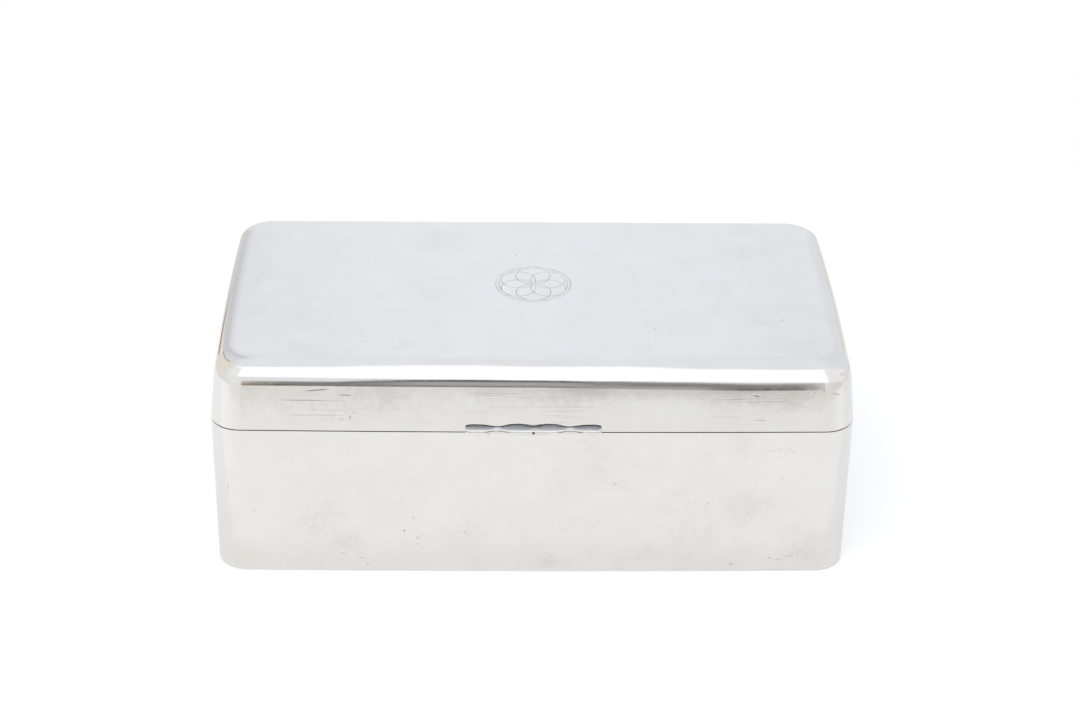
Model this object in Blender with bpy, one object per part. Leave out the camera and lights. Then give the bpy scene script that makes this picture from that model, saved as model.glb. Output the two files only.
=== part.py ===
"""Silver cigar box: bowed rectangular body, cushion lid on a knuckled hinge, cedar lining.

The origin is the middle of the base's underside. +Z is up and the thumbpiece faces -Y.
"""

import math

import bmesh
import bpy
from mathutils import Matrix, Vector

# Overall form, in metres
BOX_WIDTH = 0.225
BOX_DEPTH = 0.1192
BODY_HEIGHT = 0.0578
CORNER_RADIUS = 0.011
FRONT_BOW = 0.0008
SIDE_BOW = 0.0008
SEAM_GAP = 0.0003

# Silver sheet
WALL = 0.001
BASE_SHEET = 0.001

# Lid: straight leaning wall, elliptical edge, shallow crown, corners a little tighter above than at the rim
LID_RISE = 0.0251
LID_LEAN = math.radians(5.8)
EDGE_RUN = 0.0074
EDGE_DROP = 0.0078
CROWN = 0.0005
TOP_CORNER_RADIUS = 0.0085

# Gap left between pieces that touch, and how far a cutter runs past what it cuts
SEAT_GAP = 0.0003
CUT_OVERRUN = 0.002

# Hinge along the top of the back wall, ending a margin short of the box's sides
HINGE_MARGIN = 0.0285
KNUCKLE_COUNT = 7
KNUCKLE_RADIUS = 0.0021
KNUCKLE_GAP = 0.0003
KNUCKLE_CHAMFER = 0.0002
PIN_RADIUS = 0.0008
PIN_CLEARANCE = 0.0001
PLUG_SHANK = 0.0016
PLUG_HEAD_RADIUS = 0.0015
PLUG_HEAD_HEIGHT = 0.0005
STOP_ANGLE = math.radians(99)
BEARER_DEPTH = 0.004
BEARER_HEIGHT = 0.0045
BEARER_CHAMFER = 0.0012
BEARER_LAND = 0.004

# Thumbpiece on the lower edge of the lid's front
THUMB_WIDTH = 0.0469
THUMB_REACH = 0.0023
THUMB_WAIST_REACH = 0.0005
THUMB_END_REACH = 0.0006
THUMB_ROOT_HEIGHT = 0.0031
THUMB_WAIST_HEIGHT = 0.0021
THUMB_END_HEIGHT = 0.0019
THUMB_FRONT_HEIGHT = 0.0022
THUMB_WAIST_FRONT_HEIGHT = 0.0017
THUMB_DIMPLE_RADIUS = 0.0005
THUMB_DIMPLE_DEPTH = 0.0006

# Cedar lining
LINING = 0.005
BASE_PANEL = 0.003
LID_PANEL = 0.0025
LIP_RISE = 0.0025
LIP_CHAMFER = 0.0006
LIP_CLEARANCE = 0.0006

# Facets of the curves
FRONT_STEPS = 4
CORNER_STEPS = 9
SIDE_STEPS = 5
BACK_STEPS = 3
EDGE_STEPS = 8
CROWN_STEPS = 5
ROUND_SIDES = 28
BEAD_STEPS = 5
THUMB_STEPS = 30
THUMB_END_STEPS = 4
DOME_STEPS = 4
SMOOTH_ANGLE = math.radians(32)

# The thumbpiece's plan and height along its half width: place share, then lobe share (1 lobe, 0 waist)
THUMB_END_SHARE = 0.86
THUMB_LOBE_SHARES = (
    (0.0, 0.94), (0.2, 1.0), (0.3, 0.85), (0.53, 0.0), (0.78, 0.85), (THUMB_END_SHARE, 0.9)
)
THUMB_NOTCH_SHARES = (
    (0.0, 0.2), (0.2, 1.0), (0.3, 0.9), (0.52, 0.0), (0.78, 0.65), (THUMB_END_SHARE, 0.7)
)
BEAD_TURN = math.radians(52)

# Finishes
SILVER = {"colour": (0.86, 0.85, 0.83), "roughness": 0.12, "metallic": 1.0}
CAST_SILVER = {"colour": (0.82, 0.81, 0.79), "roughness": 0.18, "metallic": 1.0}
HINGE_SILVER = {"colour": (0.72, 0.71, 0.69), "roughness": 0.25, "metallic": 1.0}
CEDAR = {"colour": (0.48, 0.24, 0.12), "roughness": 0.7, "metallic": 0.0}

# Levels and places that follow from the sizes above
HALF_WIDTH = BOX_WIDTH / 2
HALF_DEPTH = BOX_DEPTH / 2
HINGE_LENGTH = BOX_WIDTH - 2 * HINGE_MARGIN
LID_RIM = BODY_HEIGHT + SEAM_GAP
HINGE_Y = HALF_DEPTH - WALL
HINGE_Z = BODY_HEIGHT + SEAM_GAP / 2
HINGE_AXIS = Vector((0, HINGE_Y, HINGE_Z))
GROOVE_RADIUS = KNUCKLE_RADIUS + SEAT_GAP
BEARER_LENGTH = HINGE_LENGTH + 2 * BEARER_LAND
PANEL_TOP = BASE_SHEET + SEAT_GAP + BASE_PANEL
LIP_TOP = BODY_HEIGHT + LIP_RISE
LID_LINING_FOOT = LIP_TOP + LIP_CLEARANCE
LID_PANEL_FOOT = LID_RIM + LID_RISE - WALL - SEAT_GAP - LID_PANEL

# Directions from each wall into the box
INWARD = {
    "front": Vector((0, 1, 0)),
    "back": Vector((0, -1, 0)),
    "left": Vector((1, 0, 0)),
    "right": Vector((-1, 0, 0)),
}


def clear_scene():
    """Remove every object of the scene."""
    for thing in list(bpy.data.objects):
        bpy.data.objects.remove(thing, do_unlink=True)


def material(name, finish):
    """Principled material with one of the finishes named above."""
    surface = bpy.data.materials.new(name)
    surface.use_nodes = True
    shader = surface.node_tree.nodes["Principled BSDF"]
    shader.inputs["Base Color"].default_value = (*finish["colour"], 1.0)
    shader.inputs["Roughness"].default_value = finish["roughness"]
    shader.inputs["Metallic"].default_value = finish["metallic"]
    surface.diffuse_color = (*finish["colour"], 1.0)
    return surface


def add_object(name, mesh, finish, parent=None, location=(0, 0, 0), turn=0.0):
    """Object with its own material, placed by location and a turn about Z."""
    thing = bpy.data.objects.new(name, mesh)
    bpy.context.collection.objects.link(thing)
    thing.parent = parent
    thing.location = location
    thing.rotation_euler = (0, 0, turn)
    if not mesh.materials:
        mesh.materials.append(None)
    thing.material_slots[0].link = "OBJECT"
    thing.material_slots[0].material = material(name + "_finish", finish)
    return thing


def add_cutter(name, mesh, parent=None, location=(0, 0, 0)):
    """Wire object that only cuts others."""
    cutter = bpy.data.objects.new(name, mesh)
    bpy.context.collection.objects.link(cutter)
    cutter.parent = parent
    cutter.location = location
    cutter.hide_render = True
    cutter.display_type = "WIRE"
    return cutter


def cut(thing, *cutters):
    """Subtract each cutter with a Boolean modifier."""
    for cutter in cutters:
        boolean = thing.modifiers.new(cutter.name, "BOOLEAN")
        boolean.operation = "DIFFERENCE"
        boolean.solver = "EXACT"
        boolean.object = cutter


def loft(rings, closed=False):
    """Solid through rings of points; a ring may be one point, and closed joins the last to the first."""
    solid = bmesh.new()
    loops = [[solid.verts.new(point) for point in ring] for ring in rings]
    pairs = list(zip(loops, loops[1:]))
    if closed:
        pairs.append((loops[-1], loops[0]))
    for lower, upper in pairs:
        count = max(len(lower), len(upper))
        for index in range(count):
            corners = [lower[index % len(lower)], lower[(index + 1) % len(lower)]]
            corners += [upper[(index + 1) % len(upper)], upper[index % len(upper)]]
            solid.faces.new(list(dict.fromkeys(corners)))
    if not closed:
        for end in (loops[0], loops[-1]):
            if len(end) > 1:
                solid.faces.new(end)
    bmesh.ops.recalc_face_normals(solid, faces=solid.faces[:])
    return solid


def to_mesh(name, solid, origin=(0, 0, 0), smooth=True):
    """Mesh of a solid, measured from origin; a cutter's stays flat, so that its cuts have crisp edges."""
    mesh = bpy.data.meshes.new(name)
    solid.to_mesh(mesh)
    solid.free()
    mesh.transform(Matrix.Translation(-Vector(origin)))
    if smooth:
        mesh.shade_smooth()
        mesh.set_sharp_from_angle(angle=SMOOTH_ANGLE)
    return mesh


def trim(solid, point, outward):
    """Cut a solid by a plane and close it, removing the side that outward points to."""
    geometry = solid.verts[:] + solid.edges[:] + solid.faces[:]
    result = bmesh.ops.bisect_plane(
        solid, geom=geometry, plane_co=point, plane_no=outward, clear_outer=True
    )
    rim = [item for item in result["geom_cut"] if isinstance(item, bmesh.types.BMEdge)]
    bmesh.ops.edgeloop_fill(solid, edges=rim)


def block(size, centre):
    """Solid box."""
    solid = bmesh.new()
    bmesh.ops.create_cube(solid, size=1.0)
    bmesh.ops.scale(solid, vec=size, verts=solid.verts[:])
    bmesh.ops.translate(solid, vec=centre, verts=solid.verts[:])
    return solid


def prism(profile, length):
    """Solid of a (y, z) profile drawn out along X, centred on X = 0."""
    return loft([[Vector((x, y, z)) for y, z in profile] for x in (-length / 2, length / 2)])


def circle(radius, x):
    """Ring of points round the X axis."""
    angles = [2 * math.pi * index / ROUND_SIDES for index in range(ROUND_SIDES)]
    return [Vector((x, radius * math.cos(angle), radius * math.sin(angle))) for angle in angles]


# Plan of the box

def bow_radius(half_span, bow):
    """Radius of an arc that rises by bow over half_span."""
    return (half_span ** 2 + bow ** 2) / (2 * bow)


def crossing(first, first_radius, second, second_radius):
    """Where two circles round (x, y) centres meet, on the right of the way from first to second."""
    step_x = second[0] - first[0]
    step_y = second[1] - first[1]
    apart = math.hypot(step_x, step_y)
    along = (first_radius ** 2 - second_radius ** 2 + apart ** 2) / (2 * apart)
    aside = math.sqrt(first_radius ** 2 - along ** 2)
    x = first[0] + (along * step_x - aside * step_y) / apart
    y = first[1] + (along * step_y + aside * step_x) / apart
    return x, y


FRONT_RADIUS = bow_radius(HALF_WIDTH - CORNER_RADIUS, FRONT_BOW)
SIDE_RADIUS = bow_radius(HALF_DEPTH - CORNER_RADIUS, SIDE_BOW)


def plan_arcs(inset, corner):
    """Arcs of the right half of the plan moved in by inset, front to back, with corners of one radius.

    Each is centre, radius, first and last angle, steps.
    """
    front = (0.0, FRONT_RADIUS - HALF_DEPTH)
    side = (HALF_WIDTH - SIDE_RADIUS, 0.0)
    back = inset + corner
    near = crossing(front, FRONT_RADIUS - back, side, SIDE_RADIUS - back)
    far_y = HALF_DEPTH - back
    far = (side[0] + math.sqrt((SIDE_RADIUS - back) ** 2 - far_y ** 2), far_y)
    front_end = math.atan2(near[1] - front[1], near[0] - front[0])
    side_start = math.atan2(near[1] - side[1], near[0] - side[0])
    side_end = math.atan2(far[1] - side[1], far[0] - side[0])
    return (
        (front, FRONT_RADIUS - inset, -math.pi / 2, front_end, FRONT_STEPS),
        (near, corner, front_end, side_start, CORNER_STEPS),
        (side, SIDE_RADIUS - inset, side_start, side_end, SIDE_STEPS),
        (far, corner, side_end, math.pi / 2, CORNER_STEPS),
    )


def outline(inset, corner):
    """Plan points moved in by inset, anticlockwise from the middle of the front."""
    arcs = plan_arcs(inset, corner)
    right = []
    for centre, radius, first, last, steps in arcs:
        for step in range(steps):
            angle = first + (last - first) * step / steps
            right.append((centre[0] + radius * math.cos(angle), centre[1] + radius * math.sin(angle)))
    flat_end = arcs[-1][0][0]
    for step in range(BACK_STEPS + 1):
        right.append((flat_end * (1 - step / BACK_STEPS), HALF_DEPTH - inset))
    left = [(-x, y) for x, y in reversed(right[1:-1])]
    return right + left


def plan_ring(inset, height, corner=None):
    """The outline as a ring at a height; without a radius its corners keep the walls' centres."""
    if corner is None:
        corner = CORNER_RADIUS - inset
    return [Vector((x, y, height)) for x, y in outline(inset, corner)]


# Lid surfaces

def lid_profile(depth):
    """The lid's section at a depth below its outer face, from rim to top edge.

    Each point is inset, height and corner radius.
    """
    lean = math.tan(LID_LEAN)
    start = math.atan(lean * EDGE_DROP / EDGE_RUN)
    wall_top = LID_RISE - EDGE_DROP * (1 - math.sin(start))
    top_inset = wall_top * lean + EDGE_RUN * math.cos(start)
    aside = depth / math.cos(LID_LEAN)
    points = [(aside, 0.0, CORNER_RADIUS - aside)]
    for step in range(EDGE_STEPS + 1):
        angle = start + (math.pi / 2 - start) * step / EDGE_STEPS
        run = EDGE_RUN * math.sin(angle)
        rise = EDGE_DROP * math.cos(angle)
        length = math.hypot(run, rise)
        inset = wall_top * lean + EDGE_RUN * (math.cos(start) - math.cos(angle))
        height = LID_RISE - EDGE_DROP * (1 - math.sin(angle))
        corner = CORNER_RADIUS + (TOP_CORNER_RADIUS - CORNER_RADIUS) * inset / top_inset
        aside = depth * rise / length
        points.append((inset + aside, height - depth * run / length, corner - aside))
    return points


def lid_rings(depth):
    """Rings of the lid's surface at a depth below its outer face, from the rim to the crown's middle."""
    rings = [plan_ring(inset, LID_RIM + height, corner) for inset, height, corner in lid_profile(depth)]
    edge = rings[-1]
    for step in range(1, CROWN_STEPS):
        share = 1 - step / CROWN_STEPS
        lift = CROWN * (1 - share ** 2) ** 2
        rings.append([Vector((p.x * share, p.y * share, p.z + lift)) for p in edge])
    rings.append([Vector((0, 0, edge[0].z + CROWN))])
    return rings


# Hinge cutters shared by the walls and the bearers

def hinge_bevel(parent, location):
    """Wedge outside the hinge axis: the bevels it leaves meet when the lid is fully open."""
    reach = WALL + CUT_OVERRUN
    spread = reach * math.tan(STOP_ANGLE / 2)
    wedge = prism([(0, 0), (reach, -spread), (reach, spread)], BOX_WIDTH)
    name = "lid_hinge_bevel" if parent else "body_hinge_bevel"
    return add_cutter(name, to_mesh(name, wedge, smooth=False), parent, location)


def hinge_groove(parent, location):
    """Round bar that leaves the groove the knuckles lie in."""
    half = HINGE_LENGTH / 2 + PLUG_HEAD_HEIGHT + 2 * SEAT_GAP
    bar = loft([circle(GROOVE_RADIUS, -half), circle(GROOVE_RADIUS, half)])
    name = "lid_hinge_groove" if parent else "body_hinge_groove"
    return add_cutter(name, to_mesh(name, bar, smooth=False), parent, location)


# Silver pieces

def body_wall(bevel, groove):
    """The four walls, one bent strip with bowed sides, bevelled and grooved along the back's top."""
    rings = [plan_ring(0, 0), plan_ring(0, BODY_HEIGHT), plan_ring(WALL, BODY_HEIGHT), plan_ring(WALL, 0)]
    wall = add_object("body_wall", to_mesh("body_wall", loft(rings, closed=True)), SILVER)
    cut(wall, bevel, groove)


def base_plate():
    """Flat base let in between the walls."""
    inset = WALL + SEAT_GAP
    plate = loft([plan_ring(inset, 0), plan_ring(inset, BASE_SHEET)])
    add_object("base_plate", to_mesh("base_plate", plate), SILVER)


def lid_shell(axis, bevel, groove):
    """Cushion lid of one sheet thickness, open below."""
    shell = loft(lid_rings(0)[::-1] + lid_rings(WALL))
    lid = add_object("lid_shell", to_mesh("lid_shell", shell, HINGE_AXIS), SILVER, axis)
    cut(lid, bevel, groove)


def bearer(name, side, lean, groove, parent, origin):
    """Strip behind the knuckles; side is 1 above the seam and -1 below, lean follows the wall."""
    face = HINGE_Y - SEAT_GAP / math.cos(lean)
    rim = HINGE_Z + side * SEAM_GAP / 2
    far = face - BEARER_HEIGHT * math.tan(lean)
    profile = [
        (face, rim),
        (face - BEARER_DEPTH, rim),
        (face - BEARER_DEPTH, rim + side * (BEARER_HEIGHT - BEARER_CHAMFER)),
        (face - BEARER_DEPTH + BEARER_CHAMFER, rim + side * BEARER_HEIGHT),
        (far, rim + side * BEARER_HEIGHT),
    ]
    strip = add_object(name, to_mesh(name, prism(profile, BEARER_LENGTH), origin), HINGE_SILVER, parent)
    cut(strip, groove)


def knuckle_mesh():
    """Tube with eased outer ends, round the X axis."""
    half = (HINGE_LENGTH / KNUCKLE_COUNT - KNUCKLE_GAP) / 2
    bore = PIN_RADIUS + PIN_CLEARANCE
    rings = [
        circle(KNUCKLE_RADIUS - KNUCKLE_CHAMFER, -half),
        circle(KNUCKLE_RADIUS, KNUCKLE_CHAMFER - half),
        circle(KNUCKLE_RADIUS, half - KNUCKLE_CHAMFER),
        circle(KNUCKLE_RADIUS - KNUCKLE_CHAMFER, half),
        circle(bore, half),
        circle(bore, -half),
    ]
    return to_mesh("knuckle", loft(rings, closed=True))


def knuckles(axis):
    """Knuckles along the hinge; the first, last and every other one belong to the body."""
    mesh = knuckle_mesh()
    pitch = HINGE_LENGTH / KNUCKLE_COUNT
    for index in range(KNUCKLE_COUNT):
        x = pitch * (index + 1 / 2) - HINGE_LENGTH / 2
        number = index // 2 + 1
        if index % 2:
            add_object(f"lid_knuckle_{number}", mesh, HINGE_SILVER, axis, (x, 0, 0))
        else:
            add_object(f"body_knuckle_{number}", mesh, HINGE_SILVER, None, (x, HINGE_Y, HINGE_Z))


def hinge_pin():
    """Pin through the knuckles, short of the plugs at both ends."""
    half = (HINGE_LENGTH - KNUCKLE_GAP) / 2 - PLUG_SHANK - SEAT_GAP
    pin = loft([circle(PIN_RADIUS, -half), circle(PIN_RADIUS, half)])
    add_object("hinge_pin", to_mesh("hinge_pin", pin), HINGE_SILVER, None, HINGE_AXIS)


def hinge_plugs():
    """Domed plugs that close the bores of the two end knuckles."""
    rings = [circle(PIN_RADIUS, -PLUG_SHANK), circle(PIN_RADIUS, SEAT_GAP)]
    for step in range(DOME_STEPS):
        turn = math.pi / 2 * step / DOME_STEPS
        height = SEAT_GAP + PLUG_HEAD_HEIGHT * math.sin(turn)
        rings.append(circle(PLUG_HEAD_RADIUS * math.cos(turn), height))
    rings.append([Vector((SEAT_GAP + PLUG_HEAD_HEIGHT, 0, 0))])
    mesh = to_mesh("hinge_plug", loft(rings))
    end = (HINGE_LENGTH - KNUCKLE_GAP) / 2
    add_object("hinge_plug_right", mesh, HINGE_SILVER, None, (end, HINGE_Y, HINGE_Z))
    add_object("hinge_plug_left", mesh, HINGE_SILVER, None, (-end, HINGE_Y, HINGE_Z), math.pi)


# Thumbpiece

def eased(shares, place):
    """Value at a place among (place, value) shares, eased between them by half cosines."""
    for (low, start), (high, end) in zip(shares, shares[1:]):
        if place <= high:
            blend = (1 - math.cos(math.pi * (place - low) / (high - low))) / 2
            return start + (end - start) * blend
    return shares[-1][1]


def mix(low, high, share):
    """Value between low and high."""
    return low + (high - low) * share


def thumb_section(place):
    """Ring round the thumbpiece at a place share of its half width, from the seam up."""
    lobe = eased(THUMB_LOBE_SHARES, abs(place))
    rise = eased(THUMB_NOTCH_SHARES, abs(place))
    tail = max(0.0, (abs(place) - THUMB_END_SHARE) / (1 - THUMB_END_SHARE))
    fall = 1 - math.sqrt(1 - tail ** 2)
    reach = mix(mix(THUMB_WAIST_REACH, THUMB_REACH, lobe), THUMB_END_REACH, fall)
    root = mix(mix(THUMB_WAIST_HEIGHT, THUMB_ROOT_HEIGHT, rise), THUMB_END_HEIGHT, fall)
    front = min(mix(THUMB_WAIST_FRONT_HEIGHT, THUMB_FRONT_HEIGHT, lobe), root)
    bead = front / (2 + 2 * math.sin(BEAD_TURN))
    x = place * THUMB_WIDTH / 2
    bulge = x ** 2 / (2 * FRONT_RADIUS)

    def at(out, height):
        return Vector((x, bulge - out, height))

    def back(height):
        return at(SEAT_GAP / math.cos(LID_LEAN) - height * math.tan(LID_LEAN), height)

    ring = [back(0.0)]
    for start, end, middle in (
        (-math.pi / 2, BEAD_TURN, bead),
        (-BEAD_TURN, math.pi / 2, front - bead),
    ):
        for step in range(BEAD_STEPS + 1):
            turn = mix(start, end, step / BEAD_STEPS)
            out = SEAT_GAP + reach - bead + bead * math.cos(turn)
            ring.append(at(out, middle + bead * math.sin(turn)))
    ring.append(back(root))
    return ring


def thumb_places():
    """Places of the sections as shares of the half width, closer together round the two ends."""
    middle = [THUMB_END_SHARE * (2 * step / THUMB_STEPS - 1) for step in range(THUMB_STEPS + 1)]
    turns = [math.pi / 2 * (step + 1) / THUMB_END_STEPS for step in range(THUMB_END_STEPS)]
    end = [mix(THUMB_END_SHARE, 1, math.sin(turn)) for turn in turns]
    return [-place for place in reversed(end)] + middle + end


def thumbpiece(axis):
    """Scalloped bar with a double bead along its front and a round dimple in the middle."""
    bar = loft([thumb_section(place) for place in thumb_places()])
    location = Vector((0, -HALF_DEPTH, LID_RIM)) - HINGE_AXIS
    piece = add_object("thumbpiece", to_mesh("thumbpiece", bar), CAST_SILVER, axis, location)
    lobe = eased(THUMB_LOBE_SHARES, 0.0)
    reach = mix(THUMB_WAIST_REACH, THUMB_REACH, lobe)
    middle = mix(THUMB_WAIST_FRONT_HEIGHT, THUMB_FRONT_HEIGHT, lobe) / 2
    ends = (-THUMB_DIMPLE_DEPTH, CUT_OVERRUN)
    drill = loft([circle(THUMB_DIMPLE_RADIUS, end) for end in ends])
    place = location + Vector((0, -SEAT_GAP - reach, middle))
    dimple = add_cutter("thumb_dimple", to_mesh("thumb_dimple", drill, smooth=False), axis, place)
    dimple.rotation_euler = (0, 0, -math.pi / 2)
    cut(piece, dimple)


# Cedar lining

def wall_plane(side, distance, lean, rim):
    """Point and inward normal of a plane a distance inside a wall, leaning as the wall does."""
    inward = INWARD[side]
    half = HALF_DEPTH if inward.y else HALF_WIDTH
    point = inward * (distance - half) + Vector((0, 0, rim))
    normal = inward * math.cos(lean) - Vector((0, 0, math.sin(lean)))
    return point, normal


def body_core():
    """Whole space of the body's lining, up to its lip, which is chamfered to clear the lid."""
    inset = WALL + SEAT_GAP
    return loft([
        plan_ring(inset, BASE_SHEET + SEAT_GAP),
        plan_ring(inset, BODY_HEIGHT),
        plan_ring(inset + LIP_CHAMFER, LIP_TOP),
    ])


def lid_core():
    """Whole space of the lid's lining."""
    return loft(lid_rings(WALL + SEAT_GAP))


def lining_strip(core, side, foot, lean, rim):
    """Upright board on one wall; the front and back boards run past the ends of the other two."""
    trim(core, Vector((0, 0, foot)), Vector((0, 0, -1)))
    inner = WALL + SEAT_GAP + LINING
    point, normal = wall_plane(side, inner, lean, rim)
    trim(core, point, normal)
    if INWARD[side].x:
        for end in ("front", "back"):
            point, normal = wall_plane(end, inner + SEAT_GAP, lean, rim)
            trim(core, point, -normal)
    return core


def bearer_notch(name, low, high, parent, origin):
    """Cutter that opens a back board round the hinge bearer."""
    size = (BEARER_LENGTH + 2 * SEAT_GAP, 2 * (LINING + CUT_OVERRUN), high - low)
    centre = (0, HINGE_Y - LINING / 2, (low + high) / 2)
    return add_cutter(name, to_mesh(name, block(size, centre), origin, smooth=False), parent)


def body_lining():
    """Base panel and four boards, whose tops stand above the rim as a lip."""
    panel = body_core()
    trim(panel, Vector((0, 0, PANEL_TOP)), Vector((0, 0, 1)))
    add_object("lining_base", to_mesh("lining_base", panel), CEDAR)
    for side in INWARD:
        name = f"lining_{side}"
        board = lining_strip(body_core(), side, PANEL_TOP + SEAT_GAP, 0.0, BODY_HEIGHT)
        piece = add_object(name, to_mesh(name, board), CEDAR)
        if side == "back":
            foot = BODY_HEIGHT - BEARER_HEIGHT - SEAT_GAP
            cut(piece, bearer_notch("body_bearer_notch", foot, LIP_TOP + CUT_OVERRUN, None, (0, 0, 0)))


def lid_lining(axis):
    """Top panel and four boards that follow the lid's lean and stop above the lip."""
    panel = lid_core()
    trim(panel, Vector((0, 0, LID_PANEL_FOOT)), Vector((0, 0, -1)))
    add_object("lid_lining_top", to_mesh("lid_lining_top", panel, HINGE_AXIS), CEDAR, axis)
    for side in INWARD:
        name = f"lid_lining_{side}"
        board = lining_strip(lid_core(), side, LID_LINING_FOOT, LID_LEAN, LID_RIM)
        trim(board, Vector((0, 0, LID_PANEL_FOOT - SEAT_GAP)), Vector((0, 0, 1)))
        piece = add_object(name, to_mesh(name, board, HINGE_AXIS), CEDAR, axis)
        if side == "back":
            head = LID_RIM + BEARER_HEIGHT + SEAT_GAP
            cut(piece, bearer_notch("lid_bearer_notch", LID_RIM, head, axis, HINGE_AXIS))


def hinge_axis():
    """Empty on the hinge axis that carries the lid's pieces."""
    axis = bpy.data.objects.new("lid_axis", None)
    bpy.context.collection.objects.link(axis)
    axis.location = HINGE_AXIS
    return axis


def main():
    clear_scene()
    axis = hinge_axis()
    body_cutters = hinge_bevel(None, HINGE_AXIS), hinge_groove(None, HINGE_AXIS)
    lid_cutters = hinge_bevel(axis, (0, 0, 0)), hinge_groove(axis, (0, 0, 0))
    body_wall(*body_cutters)
    base_plate()
    lid_shell(axis, *lid_cutters)
    bearer("body_bearer", -1, 0.0, body_cutters[1], None, (0, 0, 0))
    bearer("lid_bearer", 1, LID_LEAN, lid_cutters[1], axis, HINGE_AXIS)
    knuckles(axis)
    hinge_pin()
    hinge_plugs()
    thumbpiece(axis)
    body_lining()
    lid_lining(axis)


main()
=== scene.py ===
import math
from functools import partialmethod

import bmesh
import bpy
from mathutils import Matrix, Vector


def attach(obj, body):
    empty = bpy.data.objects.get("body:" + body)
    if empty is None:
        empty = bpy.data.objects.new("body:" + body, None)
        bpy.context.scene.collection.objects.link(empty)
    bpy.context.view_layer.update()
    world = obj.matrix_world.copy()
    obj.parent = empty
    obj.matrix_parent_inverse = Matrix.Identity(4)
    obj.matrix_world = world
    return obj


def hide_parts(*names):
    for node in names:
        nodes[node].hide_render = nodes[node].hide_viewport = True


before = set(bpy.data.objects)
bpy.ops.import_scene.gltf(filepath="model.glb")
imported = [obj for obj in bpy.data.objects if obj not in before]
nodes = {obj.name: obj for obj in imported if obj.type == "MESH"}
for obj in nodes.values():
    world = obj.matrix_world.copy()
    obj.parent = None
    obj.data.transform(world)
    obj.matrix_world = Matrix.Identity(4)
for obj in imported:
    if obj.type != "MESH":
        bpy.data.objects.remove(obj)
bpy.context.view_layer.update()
scene = bpy.context.scene

# Overall form, in metres, as in the CAD source
BOX_WIDTH = 0.225
BOX_DEPTH = 0.1192
BODY_HEIGHT = 0.0578
CORNER_RADIUS = 0.011
FRONT_BOW = 0.0008
SIDE_BOW = 0.0008
SEAM_GAP = 0.0003
WALL = 0.001
LID_RISE = 0.0251
LID_LEAN = math.radians(5.8)
EDGE_RUN = 0.0074
EDGE_DROP = 0.0078
CROWN = 0.0005
TOP_CORNER_RADIUS = 0.0085
SEAT_GAP = 0.0003

# Hinge
HINGE_MARGIN = 0.0285
KNUCKLE_COUNT = 7
KNUCKLE_RADIUS = 0.0021
KNUCKLE_GAP = 0.0003
KNUCKLE_EASE = 0.00025
PIN_RADIUS = 0.0008
PIN_CLEARANCE = 0.0001
PLUG_SHANK = 0.0016
PLUG_HEAD_RADIUS = 0.0015
PLUG_HEAD_HEIGHT = 0.0005
STOP_ANGLE = math.radians(99)
HINGE_SIDES = 64

# Thumbpiece
THUMB_WIDTH = 0.0469
THUMB_REACH = 0.0023
THUMB_WAIST_REACH = 0.0005
THUMB_END_REACH = 0.0006
THUMB_ROOT_HEIGHT = 0.0031
THUMB_WAIST_HEIGHT = 0.0021
THUMB_END_HEIGHT = 0.0019
THUMB_FRONT_HEIGHT = 0.0022
THUMB_WAIST_FRONT_HEIGHT = 0.0017
THUMB_DIMPLE_RADIUS = 0.0005
THUMB_DIMPLE_DEPTH = 0.0006
THUMB_END_SHARE = 0.86
THUMB_LOBE_SHARES = (
    (0.0, 0.94), (0.2, 1.0), (0.3, 0.85), (0.53, 0.0), (0.78, 0.85), (THUMB_END_SHARE, 0.9)
)
THUMB_NOTCH_SHARES = (
    (0.0, 0.2), (0.2, 1.0), (0.3, 0.9), (0.52, 0.0), (0.78, 0.65), (THUMB_END_SHARE, 0.7)
)
BEAD_TURN = math.radians(52)
# Reach of the thumbpiece's dark marks, film and painted shade, at the groove between the beads and at the
# back edge against the lid
GROOVE_FILM_AND_SHADE = 0.00014
EDGE_FILM_AND_SHADE = 0.00045
BEAD_STEPS = 10
GROOVE_PLACES = (BEAD_STEPS + 1, BEAD_STEPS + 2, -1)
THUMB_STEPS = 150
THUMB_END_STEPS = 14

# Softer start of the lid's edge: the wall bends slowly up to this lean before the ellipse takes over
EDGE_SOFT_LEAN = math.radians(17)
EDGE_SOFT_RADIUS = 0.016
EDGE_LOOSE_RADIUS = 0.022
LOOSE_FROM = 0.003
LOOSE_TO = 0.073
LOOSE_SIDE_FROM = -0.045
LOOSE_SIDE_TO = -0.010

# Small roundings of the sheet's edges
RIM_EASE = 0.00022
FOOT_EASE = 0.0004
EASE_STEPS = 4
PLUG_STEPS = 8
SHARP_TURN = math.radians(35)

# Facets of the plan and the lid
FRONT_STEPS = 26
CORNER_STEPS = 36
SIDE_STEPS = 16
BACK_STEPS = 8
EDGE_STEPS = 30
SOFT_STEPS = 6
CROWN_STEPS = 12

# Levels and places that follow from the sizes above
HALF_WIDTH = BOX_WIDTH / 2
HALF_DEPTH = BOX_DEPTH / 2
HINGE_LENGTH = BOX_WIDTH - 2 * HINGE_MARGIN
LID_RIM = BODY_HEIGHT + SEAM_GAP
HINGE_Y = HALF_DEPTH - WALL
HINGE_Z = BODY_HEIGHT + SEAM_GAP / 2
HINGE_AXIS = Vector((0, HINGE_Y, HINGE_Z))
GROOVE_RADIUS = KNUCKLE_RADIUS + SEAT_GAP
GROOVE_HALF = HINGE_LENGTH / 2 + PLUG_HEAD_HEIGHT + 2 * SEAT_GAP
STEP_WIDTH = 0.00002


# Plan of the box

def bow_radius(half_span, bow):
    """Radius of an arc that rises by bow over half_span."""
    return (half_span ** 2 + bow ** 2) / (2 * bow)


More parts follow.
